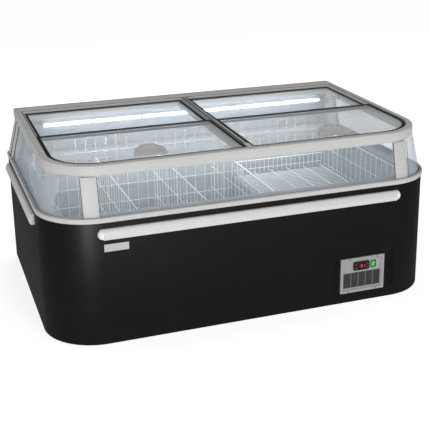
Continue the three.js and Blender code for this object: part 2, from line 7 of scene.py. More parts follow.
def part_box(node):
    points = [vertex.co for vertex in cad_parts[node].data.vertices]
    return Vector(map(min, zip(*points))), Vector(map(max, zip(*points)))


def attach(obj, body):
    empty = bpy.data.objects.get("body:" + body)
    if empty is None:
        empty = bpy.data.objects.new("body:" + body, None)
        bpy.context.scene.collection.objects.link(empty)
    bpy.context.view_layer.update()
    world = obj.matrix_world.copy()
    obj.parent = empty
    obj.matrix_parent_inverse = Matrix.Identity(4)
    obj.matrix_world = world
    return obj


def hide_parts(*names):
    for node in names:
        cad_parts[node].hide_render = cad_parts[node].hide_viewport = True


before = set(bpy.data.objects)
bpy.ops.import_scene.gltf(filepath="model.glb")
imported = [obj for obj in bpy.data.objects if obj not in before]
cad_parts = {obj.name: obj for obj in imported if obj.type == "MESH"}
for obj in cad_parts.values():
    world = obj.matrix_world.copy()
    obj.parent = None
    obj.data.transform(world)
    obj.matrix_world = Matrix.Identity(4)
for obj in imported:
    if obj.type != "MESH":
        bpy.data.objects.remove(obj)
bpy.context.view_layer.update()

# ---------------------------------------------------------------- places, from the frame

SHELL_LOW, SHELL_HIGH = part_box("outer_shell")
RIM_LOW, RIM_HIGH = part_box("rim_surround")
FRONT = SHELL_LOW.y
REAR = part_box("rear_panel")[1].y
HALF = SHELL_HIGH.x
SHELL_TOP = SHELL_HIGH.z
CORNER = 0.236
REAR_CORNER = 0.010
ARC_STEPS = 24
NEAR = 1e-4

# The glass house leans in above the collar.
GLASS_INSET = 0.010
FOOT_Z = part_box("collar")[1].z
LEAN = 38 / 170
MIDDLE_Y = 0.006
HALF_DEPTH = 0.580
POST_INNER = 0.673
POST_OUTER = 0.739
STRAIGHT_X = POST_OUTER + 0.001
STRAIGHT_Y = 0.344
RETURN_START = 0.436
WALL_INSET = 0.002
WALL_INSIDE = 0.034

# The top frame and its lids are drawn flat: Y from the front edge, Z from the top face.
DECK_DEPTH = 1.068
DECK_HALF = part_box("top_frame_surround")[1].x
DECK_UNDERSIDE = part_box("top_rail_front")[0].z - 0.0006
DECK_THICK = 0.045
DECK_CORNER = 0.218
DECK_REAR_CORNER = 0.012
DECK_PITCH = math.atan(25 / 1068)
DECK_FRONT = -0.531
DECK_Z = 0.775
DECK_SEAM = 0.700
TRACK_FRONT = 0.037
TRACK_REAR = 0.977
UPPER = {"half": 0.828, "depth": 0.011, "corner": 0.184, "mullion": 0.012}
LOWER = {"half": 0.820, "depth": 0.021, "corner": 0.176, "mullion": 0.020}
OPENING = {"half": 0.810, "lip": 0.010, "corner": 0.166}
LID_LENGTH = 0.480
LID_THICK = 0.0087
LID_EDGE = 0.012
PANE = 0.004
GAP = 0.0003

# ---------------------------------------------------------------- modelling by operator


def clear_selection():
    if bpy.context.mode == "EDIT_MESH":
        bpy.ops.object.mode_set(mode="OBJECT")
    bpy.ops.object.select_all(action="DESELECT")


def activate(piece):
    clear_selection()
    piece.select_set(True)
    bpy.context.view_layer.objects.active = piece


def named(name):
    piece = bpy.context.object
    piece.name = name
    piece.data.name = name
    return piece


def edit(piece, kind="FACE"):
    activate(piece)
    bpy.ops.object.mode_set(mode="EDIT")
    bpy.ops.mesh.select_mode(type=kind)
    bpy.ops.mesh.select_all(action="DESELECT")
    return bmesh.from_edit_mesh(piece.data)


def edit_all(piece):
    edit(piece)
    bpy.ops.mesh.select_all(action="SELECT")


def leave(piece):
    bpy.ops.object.mode_set(mode="OBJECT")
    return piece


def pick_faces(piece, test):
    """Enters edit mode with the faces that pass the test of (centre, normal)."""
    mesh = edit(piece)
    for face in mesh.faces:
        face.select_set(test(face.calc_center_median(), face.normal))
    bmesh.update_edit_mesh(piece.data)


def pick_verts(piece, test):
    mesh = edit(piece, "VERT")
    for vert in mesh.verts:
        vert.select_set(test(vert.co))
    bmesh.update_edit_mesh(piece.data)


def resize_and_place(piece, size, middle):
    edit_all(piece)
    bpy.ops.transform.resize(value=size)
    bpy.ops.transform.translate(value=middle)
    return leave(piece)


def block(name, x0, x1, y0, y1, z0, z1):
    clear_selection()
    bpy.ops.mesh.primitive_cube_add(size=1)
    middle = ((x0 + x1) / 2, (y0 + y1) / 2, (z0 + z1) / 2)
    return resize_and_place(named(name), (x1 - x0, y1 - y0, z1 - z0), middle)


def corner_radii(front, rear):
    return {(-1, -1): front, (1, -1): front, (1, 1): rear, (-1, 1): rear}


def sheet(name, x0, x1, y0, y1, z, corners):
    """A flat outline; corners maps a corner's signs, such as (-1, 1), to its radius."""
    clear_selection()
    bpy.ops.mesh.primitive_plane_add(size=1)
    piece = named(name)
    resize_and_place(piece, (x1 - x0, y1 - y0, 1), ((x0 + x1) / 2, (y0 + y1) / 2, z))
    for (side_x, side_y), radius in corners.items():
        at = Vector((x1 if side_x > 0 else x0, y1 if side_y > 0 else y0, z))
        pick_verts(piece, lambda co: (co - at).length < NEAR)
        steps = ARC_STEPS if radius > 0.05 else 8
        bpy.ops.mesh.bevel(offset=radius, segments=steps, affect="VERTICES")
        leave(piece)
    return piece


def raise_sheet(piece, height):
    edit_all(piece)
    bpy.ops.mesh.extrude_region_move(TRANSFORM_OT_translate={"value": (0, 0, height)})
    return face_outwards(piece)


def face_outwards(piece):
    edit_all(piece)
    bpy.ops.mesh.remove_doubles(threshold=0.000005)
    bpy.ops.mesh.normals_make_consistent(inside=False)
    return leave(piece)


def prism(name, x0, x1, y0, y1, z0, z1, corners):
    return raise_sheet(sheet(name, x0, x1, y0, y1, z0, corners), z1 - z0)


def draw_profile(piece, profile):
    """Draws a sheet in and up through the (inset, z) points, starting from the first."""
    edit_all(piece)
    bpy.ops.mesh.extrude_region_move(TRANSFORM_OT_translate={"value": (0, 0, 0)})
    for (inset0, z0), (inset1, z1) in zip(profile, profile[1:]):
        inward = inset1 - inset0
        if abs(inward) < 1e-7:
            bpy.ops.mesh.extrude_region_move(TRANSFORM_OT_translate={"value": (0, 0, z1 - z0)})
        else:
            bpy.ops.mesh.inset(thickness=abs(inward), depth=z1 - z0, use_outset=inward < 0)
    return leave(piece)


def hollow_ring(piece):
    """Takes the two flat ends off a profiled sheet and joins their edges, which makes a ring."""
    mesh = edit(piece)
    for face in mesh.faces:
        face.select_set(len(face.verts) > 4)
    bmesh.update_edit_mesh(piece.data)
    bpy.ops.mesh.delete(type="ONLY_FACE")
    bpy.ops.mesh.select_mode(type="EDGE")
    bpy.ops.mesh.select_all(action="DESELECT")
    bpy.ops.mesh.select_non_manifold(extend=False)
    bpy.ops.mesh.bridge_edge_loops()
    leave(piece)
    return face_outwards(piece)


def cabinet_ring(name, profile):
    """A closed ring that follows the cabinet's plan, with a profile of (inset, z) points."""
    inset, z = profile[0]
    corners = corner_radii(CORNER - inset, REAR_CORNER - inset)
    piece = sheet(name, -HALF + inset, HALF - inset, FRONT + inset, REAR - inset, z, corners)
    return hollow_ring(draw_profile(piece, profile))


def cut(piece, place, normal):
    """Keeps what is behind the plane."""
    edit_all(piece)
    bpy.ops.mesh.bisect(plane_co=place, plane_no=normal, use_fill=True, clear_outer=True)
    return leave(piece)


def copy(piece, name):
    twin = piece.copy()
    twin.data = piece.data.copy()
    twin.name = name
    twin.data.name = name
    bpy.context.scene.collection.objects.link(twin)
    return twin


def shifted(piece, name, offset):
    twin = copy(piece, name)
    edit_all(twin)
    bpy.ops.transform.translate(value=offset)
    return leave(twin)


def mirrored(piece, name):
    """A copy on the other side of the middle of the length."""
    twin = copy(piece, name)
    twin.data.transform(Matrix.Scale(-1, 4, (1, 0, 0)))
    edit_all(twin)
    bpy.ops.mesh.flip_normals()
    return leave(twin)


def modify(piece, kind, **settings):
    activate(piece)
    modifier = piece.modifiers.new(kind.lower(), kind)
    for key, value in settings.items():
        setattr(modifier, key, value)
    bpy.ops.object.modifier_apply(modifier=modifier.name)
    return piece


def soften(piece, width=0.001, segments=2, angle=35):
    return modify(piece, "BEVEL", width=width, segments=segments, limit_method="ANGLE",
                  angle_limit=math.radians(angle), use_clamp_overlap=True)


def carve(piece, cutter, operation="DIFFERENCE"):
    """Takes the cutter out of the piece, or adds or keeps it, and then drops the cutter."""
    modify(piece, "BOOLEAN", operation=operation, object=cutter, solver="EXACT")
    bpy.data.objects.remove(cutter)
    return piece


def join(name, pieces):
    clear_selection()
    for piece in pieces:
        piece.select_set(True)
    bpy.context.view_layer.objects.active = pieces[0]
    bpy.ops.object.join()
    return named(name)


def repeat(piece, count, offset):
    return modify(piece, "ARRAY", count=count, use_relative_offset=False,
                  use_constant_offset=True, constant_offset_displace=offset)


def rod(name, start, end, radius, sides=8, end_round=0.0):
    """A round wire or bar from one point to another."""
    clear_selection()
    bpy.ops.mesh.primitive_cylinder_add(vertices=sides, radius=radius, depth=1)
    piece = named(name)
    along = Vector(end) - Vector(start)
    turn = along.to_track_quat("Z", "Y").to_matrix().to_4x4()
    middle = Matrix.Translation((Vector(start) + Vector(end)) / 2)
    piece.data.transform(middle @ turn @ Matrix.Scale(along.length, 4, (0, 0, 1)))
    if end_round:
        soften(piece, end_round, 2, 60)
    return piece


def on_deck(piece):
    """Places a piece that was drawn flat on the sloping top."""
    tilt = Matrix.Rotation(DECK_PITCH, 4, "X")
    piece.data.transform(Matrix.Translation((0, DECK_FRONT, DECK_Z)) @ tilt)
    return piece


def share(place, straight, edge):
    """How much of the lean a place gets: none in the straight part, all of it at the edge."""
    return min(max((abs(place) - straight) / (edge - straight), 0), 1)


def lean(piece):
    """Leans an upright piece in with the glass walls."""
    for vert in piece.data.vertices:
        inset = LEAN * (vert.co.z - FOOT_Z)
        y = vert.co.y - MIDDLE_Y
        share_x = share(vert.co.x, STRAIGHT_X, HALF - GLASS_INSET)
        share_y = share(y, STRAIGHT_Y, HALF_DEPTH - GLASS_INSET)
        vert.co.x -= math.copysign(inset * share_x, vert.co.x)
        vert.co.y -= math.copysign(inset * share_y, y)
    return piece


def refined(node, name, bevel=0.0008, segments=2, angle=35):
    """A copy of a CAD node with its edges rounded."""
    piece = copy(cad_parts[node], name)
    for key in list(piece.keys()):
        if key.startswith("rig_"):
            del piece[key]
    piece.parent = None
    edit_all(piece)
    bpy.ops.mesh.remove_doubles(threshold=0.00002)
    bpy.ops.mesh.dissolve_limited(angle_limit=math.radians(0.5))
    leave(piece)
    if bevel:
        soften(piece, bevel, segments, angle)
    return piece


def finish(piece, material, body="root", replaces=(), angle=32):
    activate(piece)
    bpy.ops.object.shade_smooth_by_angle(angle=math.radians(angle))
    piece.data.materials.clear()
    piece.data.materials.append(material)
    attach(piece, body)
    if replaces:
        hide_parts(*replaces)
    return piece


# ---------------------------------------------------------------- finishes


def tint(red, green, blue):
    """A colour from its eight-bit screen values."""
    def linear(value):
        value /= 255
        return value / 12.92 if value <= 0.04045 else ((value + 0.055) / 1.055) ** 2.4
    return (linear(red), linear(green), linear(blue), 1.0)


class Field:
    """A shader socket that takes part in plain arithmetic."""

    def __init__(self, recipe, socket):
        self.recipe = recipe
        self.socket = socket

    def maths(self, operation, first, second):
        return self.recipe.node("ShaderNodeMath", {"operation": operation}, {0: first, 1: second})

    def __add__(self, other):
        return self.maths("ADD", self, other)

    def __sub__(self, other):
        return self.maths("SUBTRACT", self, other)

    def __rsub__(self, other):
        return self.maths("SUBTRACT", other, self)

    def __mul__(self, other):
        return self.maths("MULTIPLY", self, other)

    __radd__ = __add__
    __rmul__ = __mul__


class Recipe:
    """One material and the few steps that its recipes are made of."""

    def __init__(self, name, **constants):
        self.material = bpy.data.materials.new(name)
        self.material.use_nodes = True
        self.tree = self.material.node_tree
        self.shader = self.tree.nodes["Principled BSDF"]
        for key, value in constants.items():
            self.shader.inputs[key.replace("_", " ")].default_value = value
        self.place = self.node("ShaderNodeTexCoord", output="Object")

    def node(self, kind, settings=None, inputs=None, output=0):
        made = self.tree.nodes.new(kind)
        for key, value in (settings or {}).items():
            if key == "stops":
                self.set_stops(made.color_ramp, value)
            else:
                setattr(made, key, value)
        for key, value in (inputs or {}).items():
            if isinstance(value, Field):
                self.tree.links.new(value.socket, made.inputs[key])
            else:
                made.inputs[key].default_value = value
        return Field(self, made.outputs[output])

    def set_stops(self, ramp, stops):
        while len(ramp.elements) < len(stops):
            ramp.elements.new(1.0)
        for element, (position, level) in zip(ramp.elements, stops):
            element.position = position
            element.color = (level, level, level, 1.0)

    def stretched(self, x, y, z):
        return self.node("ShaderNodeMapping", {}, {"Vector": self.place, "Scale": (x, y, z)})

    def noise(self, scale, detail=3.0, roughness=0.55, place=None):
        inputs = {"Vector": place or self.place, "Scale": scale, "Detail": detail}
        inputs["Roughness"] = roughness
        return self.node("ShaderNodeTexNoise", {}, inputs)

    def specks(self, scale, output="Distance"):
        inputs = {"Vector": self.place, "Scale": scale}
        return self.node("ShaderNodeTexVoronoi", {}, inputs, output)

    def ramp(self, value, *stops):
        return self.node("ShaderNodeValToRGB", {"stops": stops}, {"Fac": value})

    def blend(self, factor, first, second):
        settings = {"data_type": "RGBA", "clamp_factor": True}
        return self.node("ShaderNodeMix", settings, {0: factor, 6: first, 7: second}, 2)

    def feed(self, name, value):
        self.tree.links.new(value.socket, self.shader.inputs[name])

    def bump(self, height, strength, distance):
        inputs = {"Height": height, "Strength": strength, "Distance": distance}
        self.feed("Normal", self.node("ShaderNodeBump", {}, inputs))


def trim_finish(name, light, dark, grain=1400.0, roughness=0.42, dirt=0.22):
    """Moulded vinyl or ABS: a fine grain, slow changes of tone, and dust in random patches."""
    recipe = Recipe(name, Specular_IOR_Level=0.42)
    drift = recipe.noise(3.5, 4.0, 0.5)
    rubbed = recipe.ramp(recipe.noise(26.0, 5.0, 0.6), (0.42, 0.0), (0.70, 1.0))
    hairlines = recipe.ramp(recipe.noise(60.0, 4.0, 0.6, recipe.stretched(1.0, 1.0, 9.0)),
                            (0.60, 0.0), (0.74, 1.0))
    base = recipe.blend(drift, light, dark)
    soiled = recipe.blend(rubbed * (0.16 * dirt), base, tint(150, 148, 142))
    recipe.feed("Base Color", recipe.blend(hairlines * 0.10, soiled, tint(244, 244, 242)))
    recipe.feed("Roughness", roughness + rubbed * 0.10 - hairlines * 0.08)
    grains = recipe.noise(grain, 2.0, 0.5)
    recipe.bump(grains + drift * 0.4, 0.12, 0.0004)
    return recipe.material


def enamel_finish():
    """Satin black powder coat: orange peel, faint dust and a few wiped streaks."""
    recipe = Recipe("black_enamel", Specular_IOR_Level=0.28)
    peel = recipe.noise(420.0, 2.0, 0.5)
    cloud = recipe.noise(2.2, 4.0, 0.55)
    wiped = recipe.ramp(recipe.noise(7.0, 5.0, 0.6, recipe.stretched(0.5, 0.5, 3.0)),
                        (0.45, 0.0), (0.75, 1.0))
    dust = recipe.ramp(recipe.noise(900.0, 2.0, 0.6), (0.66, 0.0), (0.76, 1.0))
    coat = recipe.blend(cloud, tint(15, 15, 16), tint(19, 19, 20))
    recipe.feed("Base Color", recipe.blend(dust * 0.10, coat, tint(96, 96, 94)))
    recipe.feed("Roughness", 0.40 + wiped * 0.07 + cloud * 0.05)
    recipe.bump(peel + cloud * 0.2, 0.10, 0.0004)
    return recipe.material


def liner_finish(name, light, dark):
    """Stucco-embossed painted aluminium sheet."""
    recipe = Recipe(name, Specular_IOR_Level=0.5)
    cells = recipe.specks(95.0)
    cloud = recipe.noise(4.0, 4.0, 0.55)
    frost = recipe.ramp(recipe.noise(16.0, 6.0, 0.62), (0.45, 0.0), (0.72, 1.0))
    sheet_colour = recipe.blend(cloud, light, dark)
    recipe.feed("Base Color", recipe.blend(frost * 0.20, sheet_colour, tint(206, 212, 216)))
    recipe.feed("Roughness", 0.36 + frost * 0.14)
    recipe.bump(cells + recipe.noise(240.0) * 0.2, 0.30, 0.0012)
    return recipe.material


def galvanised_finish():
    """Zinc-coated sheet with its spangle."""
    recipe = Recipe("galvanised_sheet", Metallic=0.40)
    crystal = recipe.node("ShaderNodeSeparateColor", {}, {0: recipe.specks(70.0, "Color")})
    cloud = recipe.noise(5.0, 4.0)
    zinc = recipe.blend(crystal, tint(176, 179, 182), tint(192, 195, 198))
    recipe.feed("Base Color", recipe.blend(cloud * 0.25, zinc, tint(160, 163, 166)))
    recipe.feed("Roughness", 0.34 + crystal * 0.16 + cloud * 0.08)
    recipe.bump(crystal + recipe.noise(500.0) * 0.3, 0.10, 0.0003)
    return recipe.material


def wire_finish():
    """Plastic-dipped wire: slightly lumpy, with a greyer cast in places."""
    recipe = Recipe("dipped_wire", Specular_IOR_Level=0.5)
    lumps = recipe.noise(190.0, 2.0)
    cast = recipe.noise(6.0, 3.0)
    recipe.feed("Base Color", recipe.blend(cast, tint(252, 253, 253), tint(242, 244, 244)))
    recipe.feed("Roughness", 0.26 + lumps * 0.14)
    recipe.bump(lumps, 0.25, 0.0005)
    return recipe.material


def rubber_finish(name, light, dark, roughness):
    """Black rubber or dark plastic, with bloom and fine pits."""
    recipe = Recipe(name, Specular_IOR_Level=0.35)
    bloom = recipe.noise(34.0, 5.0, 0.6)
    pits = recipe.noise(1500.0, 2.0)
    recipe.feed("Base Color", recipe.blend(bloom, light, dark))
    recipe.feed("Roughness", roughness + bloom * 0.14)
    recipe.bump(pits + bloom * 0.5, 0.14, 0.0003)
    return recipe.material


def glass_finish(name, colour, clear, glare):
    """Clear pane: see-through face on, brighter at a glance, with faint wipe marks."""
    recipe = Recipe(name, Specular_IOR_Level=0.6, IOR=1.5)
    wipes = recipe.ramp(recipe.noise(5.0, 6.0, 0.62, recipe.stretched(1.0, 2.4, 1.0)),
                        (0.40, 0.0), (0.90, 1.0))
    glance = recipe.node("ShaderNodeLayerWeight", {}, {"Blend": 0.28}, "Fresnel")
    recipe.feed("Base Color", recipe.blend(wipes * 0.5, colour, tint(240, 246, 250)))
    recipe.feed("Alpha", clear + glance * glare + wipes * 0.008)
    recipe.feed("Roughness", 0.03 + wipes * 0.03)
    recipe.bump(recipe.noise(2.5, 1.0), 0.004, 0.001)
    return recipe.material


def foam_finish():
    recipe = Recipe("poured_foam", Specular_IOR_Level=0.1)
    cells = recipe.specks(260.0)
    cloud = recipe.noise(9.0, 4.0)
    recipe.feed("Base Color", recipe.blend(cloud, tint(226, 206, 140), tint(204, 180, 112)))
    recipe.feed("Roughness", 0.88 + cells * 0.1)
    recipe.bump(cells, 0.6, 0.002)
    return recipe.material


def lamp_finish():
    """The tube's phosphor, a little dimmer along a mottle."""
    recipe = Recipe("lit_tube", Emission_Strength=5.0)
    mottle = recipe.noise(40.0, 3.0)
    recipe.feed("Base Color", recipe.blend(mottle, tint(250, 252, 255), tint(236, 242, 248)))
    recipe.feed("Emission Color", recipe.blend(mottle, tint(248, 252, 255), tint(232, 242, 250)))
    recipe.feed("Roughness", 0.3 + mottle * 0.1)
    recipe.bump(mottle, 0.05, 0.0003)
    return recipe.material


def lit_finish(name, colour, glow):
    """A translucent lit plastic: a digit's segment or an indicator lens."""
    recipe = Recipe(name, Emission_Strength=glow)
    haze = recipe.noise(220.0, 3.0)
    dim = tuple(0.6 * part for part in colour[:3]) + (1.0,)
    recipe.feed("Base Color", recipe.blend(haze, colour, dim))
    recipe.feed("Emission Color", recipe.blend(haze * 0.5, colour, dim))
    recipe.feed("Roughness", 0.25 + haze * 0.2)
    recipe.bump(haze, 0.1, 0.0002)
    return recipe.material


BLACK_ENAMEL = enamel_finish()
GREY_TRIM = trim_finish("grey_trim", tint(208, 208, 207), tint(198, 198, 197))
MULLION_GREY = trim_finish("mullion_grey", tint(186, 186, 186), tint(172, 172, 172))
BEZEL_GREY = trim_finish("bezel_grey", tint(168, 168, 168), tint(154, 154, 154), 1100.0, 0.5)
BUMPER_VINYL = trim_finish("bumper_vinyl", tint(222, 222, 221), tint(211, 211, 210), 900.0, 0.38)
CAP_VINYL = trim_finish("bumper_cap_vinyl", tint(246, 246, 245), tint(240, 240, 239), 900.0, 0.34)
PULL_GREY = trim_finish("pull_grey", tint(204, 204, 203), tint(192, 192, 191), 1100.0, 0.5)
KEY_GREY = trim_finish("key_grey", tint(74, 74, 75), tint(60, 60, 61), 1100.0, 0.5)
PLATE_WHITE = trim_finish("plate_white", tint(196, 196, 196), tint(188, 188, 188), 1600.0, 0.35, 0.2)
LINER = liner_finish("stucco_liner", tint(172, 180, 185), tint(152, 161, 167))
LEDGE = trim_finish("ledge_blue_grey", tint(180, 188, 194), tint(168, 176, 183), 1300.0, 0.4)
GALVANISED = galvanised_finish()
WIRE = wire_finish()
GASKET = rubber_finish("gasket_rubber", tint(24, 24, 25), tint(38, 38, 39), 0.5)
DARK_PLASTIC = rubber_finish("dark_plastic", tint(19, 19, 20), tint(29, 29, 30), 0.36)
GRILLE_GREY = rubber_finish("grille_grey", tint(70, 71, 72), tint(84, 85, 86), 0.45)
WALL_GLASS = glass_finish("wall_glass", tint(216, 227, 233), 0.03, 0.40)
# The lids' glass comes as a lit and a shaded copy: the front lids' pane is whiter and less clear, a
# painted light veil, and the rear lids' pane is greyer and clearer, painted shade.
LIT_AND_SHADED_LID_GLASS = {"front": glass_finish("front_lid_glass_painted_light", tint(244, 247, 248), 0.14, 0.30),
             "rear": glass_finish("rear_lid_glass_painted_shade", tint(226, 233, 238), 0.09, 0.30)}
FOAM = foam_finish()
LIT_TUBE = lamp_finish()
DIGIT_RED = lit_finish("digit_red", tint(255, 34, 30), 2.2)
DIGIT_DIM = lit_finish("digit_dim", tint(120, 14, 14), 0.4)
ROCKER_GREEN = lit_finish("rocker_green", tint(58, 205, 74), 0.5)
MARK_WHITE = lit_finish("mark_white", tint(210, 212, 214), 0.3)

# ---------------------------------------------------------------- cabinet

PANEL_LOW, PANEL_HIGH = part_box("control_panel")
LOUVRE_COLUMNS = ((0.350, 0.388), (0.634, 0.676))
LOUVRE_COUNT = 13
LOUVRE_Z = 0.066
LOUVRE_PITCH = 0.0134
LOUVRE_HIGH = 0.005


def build_shell():
    skin = cabinet_ring("shell_skin", [(0, SHELL_LOW.z), (0, SHELL_TOP), (0.003, SHELL_TOP),
                                       (0.003, SHELL_LOW.z)])
    cut(skin, (0, SHELL_HIGH.y, 0), (0, 1, 0))
    carve(skin, block("panel_hole", PANEL_LOW.x + 0.008, PANEL_HIGH.x - 0.008, FRONT - 0.01,
                      FRONT + 0.01, PANEL_LOW.z + 0.008, PANEL_HIGH.z - 0.008))
    for low, high in LOUVRE_COLUMNS:
        slot = block("slots", low, high, FRONT - 0.01, FRONT + 0.01, LOUVRE_Z,
                     LOUVRE_Z + LOUVRE_HIGH)
        carve(skin, repeat(slot, LOUVRE_COUNT, (0, 0, LOUVRE_PITCH)))
    soften(skin, 0.0007, 2, 50)
    finish(skin, BLACK_ENAMEL, replaces=["outer_shell"])
    for side, (low, high) in zip(("left", "right"), LOUVRE_COLUMNS):
        build_louvres(f"louvre_blades_{side}", low, high)


def build_louvres(name, low, high):
    """Pressed louvres: each slot has a blade that slopes up and in from its lower edge."""
    blade = block(name, low - 0.002, high + 0.002, FRONT + 0.0032, FRONT + 0.0040,
                  LOUVRE_Z - 0.001, LOUVRE_Z + LOUVRE_HIGH + 0.001)
    pick_faces(blade, lambda centre, normal: normal.z > 0.9)
    bpy.ops.transform.translate(value=(0, 0.0045, 0))
    leave(blade)
    soften(blade, 0.0003, 2, 30)
    repeat(blade, LOUVRE_COUNT, (0, 0, LOUVRE_PITCH))
    finish(blade, BLACK_ENAMEL, angle=60)


def build_rim():
    low = RIM_LOW.z
    high = RIM_HIGH.z
    rim = cabinet_ring("rim_profile", [
        (-0.0045, low), (-0.0060, low + 0.0015), (-0.0060, high - 0.0060),
        (-0.0054, high - 0.0026), (-0.0040, high - 0.0007), (-0.0024, high),
        (-0.0010, high - 0.0006), (-0.0002, high - 0.0020), (-0.0002, high - 0.0042),
        (0.0030, high - 0.0042), (0.0030, high - 0.0008), (0.0038, high),
        (0.0064, high), (0.0070, high - 0.0008), (0.0070, high - 0.0040),
        (0.0090, high - 0.0040), (0.0090, low)])
    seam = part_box("rim_front")[1].x
    front = copy(rim, "rim_front_profile")
    cut(front, (seam, 0, 0), (1, 0, 0))
    cut(front, (-seam, 0, 0), (-1, 0, 0))
    cut(front, (0, 0, 0), (0, 1, 0))
    carve(rim, block("seam_gap", -seam - GAP, seam + GAP, FRONT - 0.1, 0, low - 0.1, high + 0.1))
    finish(front, GREY_TRIM, replaces=["rim_front"])
    finish(rim, GREY_TRIM, replaces=["rim_surround"])
    # A black strip fills the rim's groove: painted shade, which makes the groove show as a dark
    # line.
    groove_shade_strip = cabinet_ring("rim_groove_shade_strip", [
        (0.0, high - 0.0040), (0.0, high - 0.0018), (0.0028, high - 0.0018),
        (0.0028, high - 0.0040)])
    finish(groove_shade_strip, GASKET)
    foot = cabinet_ring("glass_foot_seal", [
        (0.0072, high - 0.0038), (0.0072, high - 0.0012), (0.0080, high - 0.0001),
        (0.0116, high - 0.0001), (0.0108, high - 0.0038)])
    finish(foot, GASKET)


def build_rear():
    panel = refined("rear_panel", "rear_sheet", 0.0004)
    finish(panel, GALVANISED, replaces=["rear_panel"])
    head = rod("rear_screws", (-0.870, REAR - 0.0004, 0.030), (-0.870, REAR + 0.0016, 0.030),
               0.0042, 14)
    pick_faces(head, lambda centre, normal: normal.y > 0.9)
    bpy.ops.mesh.inset(thickness=0.0018, depth=0.0003)
    bpy.ops.mesh.inset(thickness=0.0004, depth=-0.0010)
    leave(head)
    low_row = repeat(head, 9, (0.2175, 0, 0))
    high_row = shifted(low_row, "rear_screws_high", (0, 0, 0.500))
    finish(join("rear_screws", [low_row, high_row]), GALVANISED)


def build_collar_and_tank():
    finish(refined("collar", "collar_ledge", 0.0006), LEDGE, replaces=["collar"])
    finish(refined("tank_liner", "liner_sheet", 0.0010), LINER,
           replaces=["tank_liner"])
    finish(refined("base_tray", "tray_sheet", 0.0006), GALVANISED,
           replaces=["base_tray"])
    for node in ("foot_front_left", "foot_front_right", "foot_rear_left", "foot_rear_right"):
        finish(refined(node, node.replace("foot", "levelling_foot"), 0.0006), DARK_PLASTIC,
               replaces=[node])


def build_machinery():
    finish(refined("compressor", "compressor_can", 0.0020), DARK_PLASTIC,
           replaces=["compressor"], angle=50)
    finish(refined("condenser", "condenser_fins", 0.0003), GALVANISED,
           replaces=["condenser"])
    finish(refined("fan_motor", "fan_motor_can", 0.0010), GALVANISED,
           replaces=["fan_motor"])
    finish(refined("fan_blades", "fan_wheel", 0.0004), PULL_GREY, "fan",
           ["fan_blades"])
    finish(refined("cord_gland", "gland_nut", 0.0006), DARK_PLASTIC,
           replaces=["cord_gland"])


# ---------------------------------------------------------------- bumpers and plate

BUMPER_Z = 0.500


def bumper_rail(name, length):
    """A rail along X with its back at Y = 0: a flat upper face, a ridge and a lower face."""
    profile = ((0.0003, -0.0232), (0.0110, -0.0235), (0.0190, -0.0200), (0.0228, -0.0110),
               (0.0240, -0.0015), (0.0236, 0.0010), (0.0205, 0.0095), (0.0165, 0.0180),
               (0.0125, 0.0225), (0.0095, 0.0235), (0.0003, 0.0235))
    mesh = bpy.data.meshes.new(name)
    rows = [(-length / 2, -out, up) for out, up in profile]
    mesh.from_pydata(rows, [], [list(range(len(rows)))])
    piece = bpy.data.objects.new(name, mesh)
    bpy.context.scene.collection.objects.link(piece)
    edit_all(piece)
    bpy.ops.mesh.extrude_region_move(TRANSFORM_OT_translate={"value": (length, 0, 0)})
    return soften(face_outwards(piece), 0.0008, 2, 25)


def build_bumpers():
    low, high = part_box("bumper_front")
    front = bumper_rail("bumper_rail_front", high.x - low.x)
    resize_and_place(front, (1, 1, 1), (0, FRONT, BUMPER_Z))
    finish(front, BUMPER_VINYL, replaces=["bumper_front"])
    for side in ("left", "right"):
        cap = refined(f"bumper_front_cap_{side}", f"bumper_end_cap_{side}", 0.0)
        finish(cap, CAP_VINYL, replaces=[f"bumper_front_cap_{side}"], angle=60)
        low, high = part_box(f"bumper_{side}")
        sign = 1 if side == "right" else -1
        rail = bumper_rail(f"bumper_rail_{side}", high.y - low.y)
        turn = Matrix.Rotation(math.radians(90 * sign), 4, "Z")
        middle = Matrix.Translation((sign * HALF, (low.y + high.y) / 2, BUMPER_Z))
        rail.data.transform(middle @ turn)
        finish(rail, BUMPER_VINYL, replaces=[f"bumper_{side}"])
    low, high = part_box("name_plate")
    plate = block("blank_plate", low.x, high.x, low.y, high.y, low.z, high.z)
    pick_faces(plate, lambda centre, normal: normal.y < -0.9)
    bpy.ops.mesh.inset(thickness=0.0022, depth=0)
    bpy.ops.mesh.inset(thickness=0.0005, depth=-0.0004)
    leave(plate)
    soften(plate, 0.0007, 3, 30)
    finish(plate, PLATE_WHITE, replaces=["name_plate"])


# ---------------------------------------------------------------- glass house


def upright_strip(name, x0, x1, inset0, inset1, z0, z1, front=True):
    """An upright strip at the glass, which leans in with it."""
    if front:
        strip = block(name, x0, x1, FRONT + inset0, FRONT + inset1, z0, z1)
    else:
        side = math.copysign(1, x0)
        strip = block(name, side * (HALF - inset0), side * (HALF - inset1), abs(x0), abs(x1),
                      z0, z1)
    return lean(soften(face_outwards(strip), 0.0005, 2))


def under_frame(y):
    """The height of the top frame's underside."""
    return DECK_UNDERSIDE + math.tan(DECK_PITCH) * (y - DECK_FRONT)


